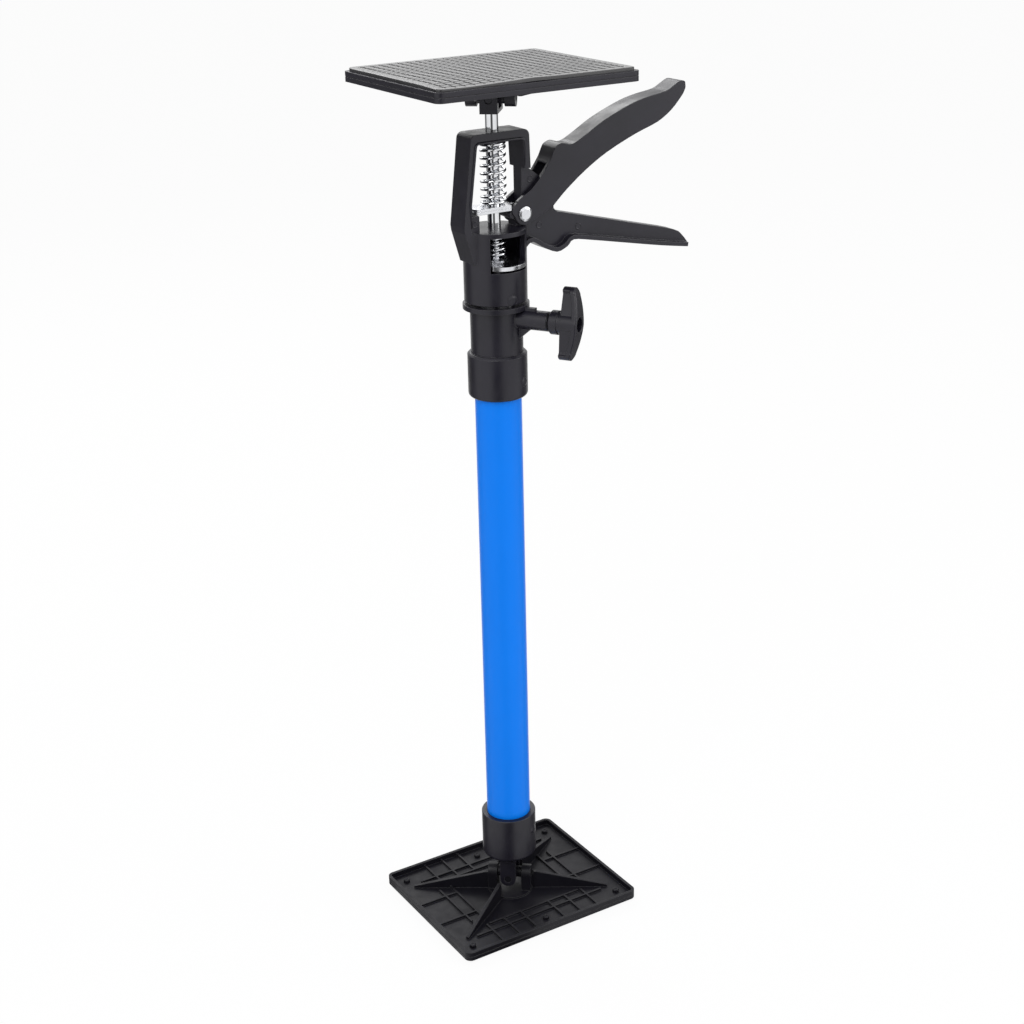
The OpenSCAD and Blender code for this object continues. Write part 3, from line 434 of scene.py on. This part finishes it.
# Clamp knob, in its own frame: Z out along the screw from the pole's axis, X along the wings
KNOB_TURN = math.radians(-57)
KNOB_REST = math.radians(-12)
KNOB_HEIGHT = 375.0 * MM
KNOB_FOOT = 33.5 * MM
KNOB_HUB, KNOB_HUB_L, KNOB_DRUM = 6.7 * MM, 6.4 * MM, 6.0 * MM
KNOB_CHAMFER, KNOB_STEP, KNOB_STEP_L = 0.6 * MM, 4.6 * MM, 0.5 * MM
DRUM_SHOULDER, DRUM_EDGE, DRUM_RIM = 1.6 * MM, 0.7 * MM, 0.3 * MM
WING_HALF, WING_W, WING_TIP_R = 20.0 * MM, 6.0 * MM, 4.0 * MM
WING_DEPTH, WING_TIP_DEPTH = 10.4 * MM, 6.6 * MM
WING_RECESS, WING_RIM, WING_SOFT = 1.3 * MM, 3.0 * MM, 0.9 * MM
WING_STEP, WING_HEEL, WING_END = 0.6 * MM, 0.3 * MM, 0.2 * MM
WING_TIP_WALL, WING_TIP_RAMP = 2.2 * MM, 1.2 * MM
WING_TURN_STEP, WING_TIP_STATIONS = 6, (0.0, 0.8 * MM, 1.6 * MM, 2.4 * MM, 3.0 * MM)
KNOB_HOLE, KNOB_HOLE_DEPTH = 4.0 * MM, 4.8 * MM
HOLE_LIP, HOLE_LIP_DEPTH, HOLE_LIP_RISE, HOLE_OVER = 0.7 * MM, 0.5 * MM, 0.2 * MM, 1.0 * MM


def wing_section(x):
    """A section across the wings at x: a rim along the front over a narrower web."""
    t = x / WING_HALF
    front = KNOB_FOOT + KNOB_HUB_L + WING_TIP_DEPTH + (WING_DEPTH - WING_TIP_DEPTH) * (1 - t * t)
    back = KNOB_FOOT + KNOB_HUB_L
    past = max(abs(x) - (WING_HALF - WING_TIP_R), 0.0)
    wide = WING_W + (WING_TIP_R - WING_W) * min(abs(x) / (WING_HALF - WING_TIP_R), 1.0)
    if past > 0:
        wide = math.sqrt(max(WING_TIP_R ** 2 - past ** 2, 0.0)) + WING_END
    web = wide - WING_RECESS * min(max((WING_HALF - WING_TIP_WALL - abs(x)) / WING_TIP_RAMP, 0.0), 1.0)
    soft = min(WING_SOFT, 0.4 * wide)
    outline = [(web - WING_HEEL, back), (web, back + WING_HEEL), (web, front - WING_RIM - WING_STEP),
               (wide, front - WING_RIM), (wide, front - soft), (wide - 0.3 * soft, front - 0.3 * soft),
               (wide - soft, front)]
    return [Vector((x, y, z)) for y, z in outline] + [Vector((x, -y, z)) for y, z in reversed(outline)]


def joined(base, *others):
    """A mesh joined with each mesh that comes with UNION, and cut by each that comes with DIFFERENCE."""
    made = [bpy.data.objects.new("base", base)]
    bpy.context.collection.objects.link(made[0])
    for operation, mesh in others:
        tool = bpy.data.objects.new("tool", mesh)
        bpy.context.collection.objects.link(tool)
        step = made[0].modifiers.new("step", "BOOLEAN")
        step.operation, step.object, step.solver = operation, tool, "EXACT"
        made.append(tool)
    graph = bpy.context.evaluated_depsgraph_get()
    result = bpy.data.meshes.new_from_object(made[0].evaluated_get(graph))
    for obj in made:
        mesh = obj.data
        bpy.data.objects.remove(obj)
        bpy.data.meshes.remove(mesh)
    return result


def turned(profile, steps=64):
    """A turned form as a mesh by itself."""
    mesh = bmesh.new()
    lathe(mesh, (0, 0, 0), profile, steps)
    return plain_mesh(mesh)


def make_knob():
    """The two-wing knob: a stepped hub, a drum, and wings whose sides are hollowed behind a rim."""
    wings = bmesh.new()
    tip = WING_HALF - 0.05 * MM
    stations = [tip * math.sin(math.radians(turn)) for turn in range(-90, 91, WING_TURN_STEP)]
    stations += [side * (WING_HALF - WING_TIP_R + x) for side in (-1, 1) for x in WING_TIP_STATIONS]
    stations = sorted(set(stations))
    skin_rings(wings, [[wings.verts.new(point) for point in wing_section(x)] for x in stations])
    front = KNOB_FOOT + KNOB_HUB_L + WING_DEPTH
    hub = turned([(KNOB_HUB - KNOB_CHAMFER, KNOB_FOOT), (KNOB_HUB, KNOB_FOOT + KNOB_CHAMFER),
                  (KNOB_HUB, KNOB_FOOT + KNOB_STEP), (KNOB_DRUM, KNOB_FOOT + KNOB_STEP + KNOB_STEP_L),
                  (KNOB_DRUM, front - DRUM_SHOULDER), (KNOB_DRUM - DRUM_EDGE, front - KNOB_CHAMFER),
                  (KNOB_HOLE + DRUM_RIM, front - DRUM_RIM)])
    hole = turned([(KNOB_HOLE, front - KNOB_HOLE_DEPTH), (KNOB_HOLE, front - HOLE_LIP_DEPTH),
                   (KNOB_HOLE + HOLE_LIP, front + HOLE_LIP_RISE), (KNOB_HOLE + HOLE_LIP, front + HOLE_OVER)])
    shape = joined(plain_mesh(wings), ("UNION", hub), ("DIFFERENCE", hole))
    mesh = bmesh.new()
    mesh.from_mesh(shape)
    bpy.data.meshes.remove(shape)
    place = Matrix.Rotation(KNOB_TURN, 4, "Z") @ Matrix.Translation((0, 0, KNOB_HEIGHT)) \
        @ Matrix.Rotation(math.radians(90), 4, "Y") @ Matrix.Rotation(KNOB_REST, 4, "Z")
    bmesh.ops.transform(mesh, matrix=place, verts=mesh.verts)
    knob = finish_mesh(mesh, "knob_grip", MATERIALS["plastic"], "knob")
    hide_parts("clamp_knob")


# Window of the head's frame, on its front face: the edge from the far post's foot round under the bridge
FRAME_FACE = 7.7 * MM
LIP_RADIUS = 0.75 * MM
LIP_SIDES = 10
LIP_END_SHARE = 0.3
LIP_PATH = [(-18.7, 427.5), (-18.8, 440.2), (-14.9, 469.6), (-14.5, 471.2), (-13.2, 472.1), (0, 472.2), (13.6, 472.1),
            (15.2, 471.4), (15.6, 469.8), (15.6, 457.0)]
# Round marks that the mould's pins leave on the front of the head: X and Z, and how far the face stands from the axis
PIN_MARKS = [(52.0, 418.9, 4.0), (26.3, 423.0, 4.0), (21.0, 448.9, 4.0), (-15.8, 429.2, 6.5)]
MARK_RADIUS = 2.0 * MM
MARK_FORM = [(1.0, -0.2 * MM), (1.0, 0.12 * MM), (0.88, 0.24 * MM), (0.76, 0.22 * MM), (0.66, 0.05 * MM),
             (0.1, 0.04 * MM)]


def make_lips():
    """A rounded lip round the window, on both faces of the frame."""
    mesh = bmesh.new()
    points = [Vector((x * MM, 0, z * MM)) for x, z in LIP_PATH]
    turn = [(math.cos(math.tau * j / LIP_SIDES), math.sin(math.tau * j / LIP_SIDES)) for j in range(LIP_SIDES)]
    for face in (-FRAME_FACE, FRAME_FACE):
        rings = []
        for i, point in enumerate(points):
            along = (points[min(i + 1, len(points) - 1)] - points[max(i - 1, 0)]).normalized()
            across = along.cross(Vector((0, 1, 0)))
            radius = LIP_RADIUS * (LIP_END_SHARE if i in (0, len(points) - 1) else 1.0)
            rings.append([mesh.verts.new(point + Vector((0, face, 0)) + radius * (a * across + b * Vector((0, 1, 0))))
                          for a, b in turn])
        skin_rings(mesh, rings)
    smooth_piece(finish_mesh(mesh, "window_lips", MATERIALS["plastic"], "head"))


def make_marks():
    """The round marks, each a low ring with a shallow middle."""
    mesh = bmesh.new()
    turn = Matrix.Rotation(math.radians(90), 4, "X")
    for x, z, face in PIN_MARKS:
        mark = bmesh.new()
        lathe(mark, (0, 0, 0), [(share * MARK_RADIUS, height) for share, height in MARK_FORM], 24)
        bmesh.ops.transform(mark, matrix=Matrix.Translation((x * MM, -face * MM, z * MM)) @ turn, verts=mark.verts)
        part = bpy.data.meshes.new("mark")
        mark.to_mesh(part)
        mark.free()
        mesh.from_mesh(part)
        bpy.data.meshes.remove(part)
    finish_mesh(mesh, "pin_marks", MATERIALS["plastic"], "head")


def make_camera():
    data = bpy.data.cameras.new("camera")
    data.sensor_width = SENSOR
    data.lens = FOCAL_PX * SENSOR / IMAGE_PX
    camera = bpy.data.objects.new("camera", data)
    bpy.context.collection.objects.link(camera)
    turn = Matrix.Rotation(CAMERA_PAN - CAMERA_AZIMUTH, 3, "Z")
    forward = turn @ Vector((0, math.cos(CAMERA_PITCH), -math.sin(CAMERA_PITCH)))
    right = turn @ Vector((1, 0, 0))
    down = forward.cross(right)
    level = math.cos(CAMERA_ROLL) * right + math.sin(CAMERA_ROLL) * down
    up = math.sin(CAMERA_ROLL) * right - math.cos(CAMERA_ROLL) * down
    place = Matrix.Rotation(-CAMERA_AZIMUTH, 3, "Z") @ Vector((0, -CAMERA_DISTANCE, CAMERA_HEIGHT))
    rotation = Matrix((level, up, -forward)).transposed().to_4x4()
    camera.matrix_world = Matrix.Translation(place) @ rotation
    bpy.context.scene.camera = camera
    return place


def make_lamp(name, place, target, size, power):
    data = bpy.data.lights.new(name, "AREA")
    data.shape = "RECTANGLE"
    data.size, data.size_y = size
    data.energy = power
    lamp = bpy.data.objects.new(name, data)
    lamp.location = place
    lamp.rotation_euler = (Vector(target) - Vector(place)).to_track_quat("-Z", "Y").to_euler()
    bpy.context.collection.objects.link(lamp)


# What polished metal sees round it, from the camera's side (0) to the far side (1): studio cards in turn
STUDIO_BANDS = [(0.0, 0.1), (0.07, 0.1), (0.13, 1.15), (0.5, 1.0), (0.57, 0.16), (0.74, 0.16), (0.84, 1.0)]


def studio_bands(tree, space):
    """White and dark cards round the object, in the world's own directions."""
    place = tree.nodes.new("ShaderNodeTexCoord")
    turn = tree.nodes.new("ShaderNodeMapping")
    turn.vector_type = "VECTOR"
    turn.inputs["Rotation"].default_value = (0, 0, CAMERA_AZIMUTH + math.pi / 2)
    axes = tree.nodes.new("ShaderNodeSeparateXYZ")
    angle = tree.nodes.new("ShaderNodeMath")
    angle.operation = "ARCTAN2"
    both = tree.nodes.new("ShaderNodeMath")
    both.operation = "ABSOLUTE"
    share = tree.nodes.new("ShaderNodeMath")
    share.operation = "DIVIDE"
    share.inputs[1].default_value = math.pi
    ramp = tree.nodes.new("ShaderNodeValToRGB")
    while len(ramp.color_ramp.elements) < len(STUDIO_BANDS):
        ramp.color_ramp.elements.new(1.0)
    for element, (position, value) in zip(ramp.color_ramp.elements, STUDIO_BANDS):
        element.position = position
        element.color = (value, value, value, 1)
    high = add_node(tree, "ShaderNodeMapRange")
    high.inputs["From Min"].default_value = 0.45
    high.inputs["From Max"].default_value = 0.8
    sky = tree.nodes.new("ShaderNodeMix")
    sky.data_type = "RGBA"
    sky.inputs[7].default_value = WHITE
    tree.links.new(place.outputs[space], turn.inputs["Vector"])
    tree.links.new(turn.outputs["Vector"], axes.inputs["Vector"])
    tree.links.new(axes.outputs["Y"], angle.inputs[0])
    tree.links.new(axes.outputs["X"], angle.inputs[1])
    tree.links.new(angle.outputs[0], both.inputs[0])
    tree.links.new(both.outputs[0], share.inputs[0])
    tree.links.new(share.outputs[0], ramp.inputs["Fac"])
    tree.links.new(axes.outputs["Z"], high.inputs["Value"])
    tree.links.new(high.outputs["Result"], sky.inputs[0])
    tree.links.new(ramp.outputs["Color"], sky.inputs[6])
    return sky.outputs[2]


def make_world():
    world = bpy.data.worlds.new("studio")
    world.use_nodes = True
    bpy.context.scene.world = world
    tree = world.node_tree
    tree.nodes.clear()
    paths = tree.nodes.new("ShaderNodeLightPath")
    seen = add_node(tree, "ShaderNodeBackground", Color=WHITE, Strength=1.0)
    lit = add_node(tree, "ShaderNodeBackground", Color=WHITE, Strength=WORLD_LIGHT)
    cards = add_node(tree, "ShaderNodeBackground", Strength=1.0)
    tree.links.new(studio_bands(tree, "Generated"), cards.inputs["Color"])
    reflected = tree.nodes.new("ShaderNodeMixShader")
    tree.links.new(paths.outputs["Is Glossy Ray"], reflected.inputs["Fac"])
    tree.links.new(lit.outputs[0], reflected.inputs[1])
    tree.links.new(cards.outputs[0], reflected.inputs[2])
    direct = tree.nodes.new("ShaderNodeMath")
    direct.operation = "MAXIMUM"
    tree.links.new(paths.outputs["Is Camera Ray"], direct.inputs[0])
    tree.links.new(paths.outputs["Is Transmission Ray"], direct.inputs[1])
    mix = tree.nodes.new("ShaderNodeMixShader")
    tree.links.new(direct.outputs[0], mix.inputs["Fac"])
    tree.links.new(reflected.outputs[0], mix.inputs[1])
    tree.links.new(seen.outputs[0], mix.inputs[2])
    out = tree.nodes.new("ShaderNodeOutputWorld")
    tree.links.new(mix.outputs[0], out.inputs["Surface"])


def make_floor():
    material = bpy.data.materials.new("floor")
    material.use_nodes = True
    tree = material.node_tree
    tree.nodes.clear()
    paths = tree.nodes.new("ShaderNodeLightPath")
    glow = add_node(tree, "ShaderNodeEmission", Color=WHITE, Strength=1.0)
    cloth = add_node(tree, "ShaderNodeBsdfDiffuse", Color=FLOOR_CLOTH)
    share = tree.nodes.new("ShaderNodeMath")
    share.operation = "MULTIPLY"
    share.inputs[1].default_value = FLOOR_WHITE_SHARE
    mix = tree.nodes.new("ShaderNodeMixShader")
    out = tree.nodes.new("ShaderNodeOutputMaterial")
    tree.links.new(paths.outputs["Is Camera Ray"], share.inputs[0])
    tree.links.new(share.outputs[0], mix.inputs["Fac"])
    tree.links.new(cloth.outputs[0], mix.inputs[1])
    tree.links.new(glow.outputs[0], mix.inputs[2])
    cards = add_node(tree, "ShaderNodeEmission", Strength=FLOOR_CARDS)
    tree.links.new(studio_bands(tree, "Object"), cards.inputs["Color"])
    reflected = tree.nodes.new("ShaderNodeMixShader")
    tree.links.new(paths.outputs["Is Glossy Ray"], reflected.inputs["Fac"])
    tree.links.new(mix.outputs[0], reflected.inputs[1])
    tree.links.new(cards.outputs[0], reflected.inputs[2])
    tree.links.new(reflected.outputs[0], out.inputs["Surface"])
    mesh = bpy.data.meshes.new("floor")
    corners = [(x * FLOOR_HALF, y * FLOOR_HALF, 0) for x, y in ((-1, -1), (1, -1), (1, 1), (-1, 1))]
    mesh.from_pydata(corners, [], [(0, 1, 2, 3)])
    floor = bpy.data.objects.new("floor", mesh)
    mesh.materials.append(material)
    bpy.context.collection.objects.link(floor)


dress_nodes()
make_pad("top_pad", "top", "top_pad_sheet", 1, loose_edge)
make_pad("base_pad", "base", "base_pad_sheet", -1, lambda x, y: 0.0)
make_spring("drive_spring", DRIVE_WIRE, DRIVE_TURNS, DRIVE_FOOT, 0.0)
make_spring("release_spring", RELEASE_WIRE, RELEASE_TURNS, RELEASE_FOOT, RELEASE_LEAN)
make_knob()
make_lips()
make_marks()
make_camera()
make_world()
make_floor()
for lamp_name, lamp in LAMPS.items():
    make_lamp(lamp_name, *lamp)

bpy.context.scene.view_settings.view_transform = "Standard"
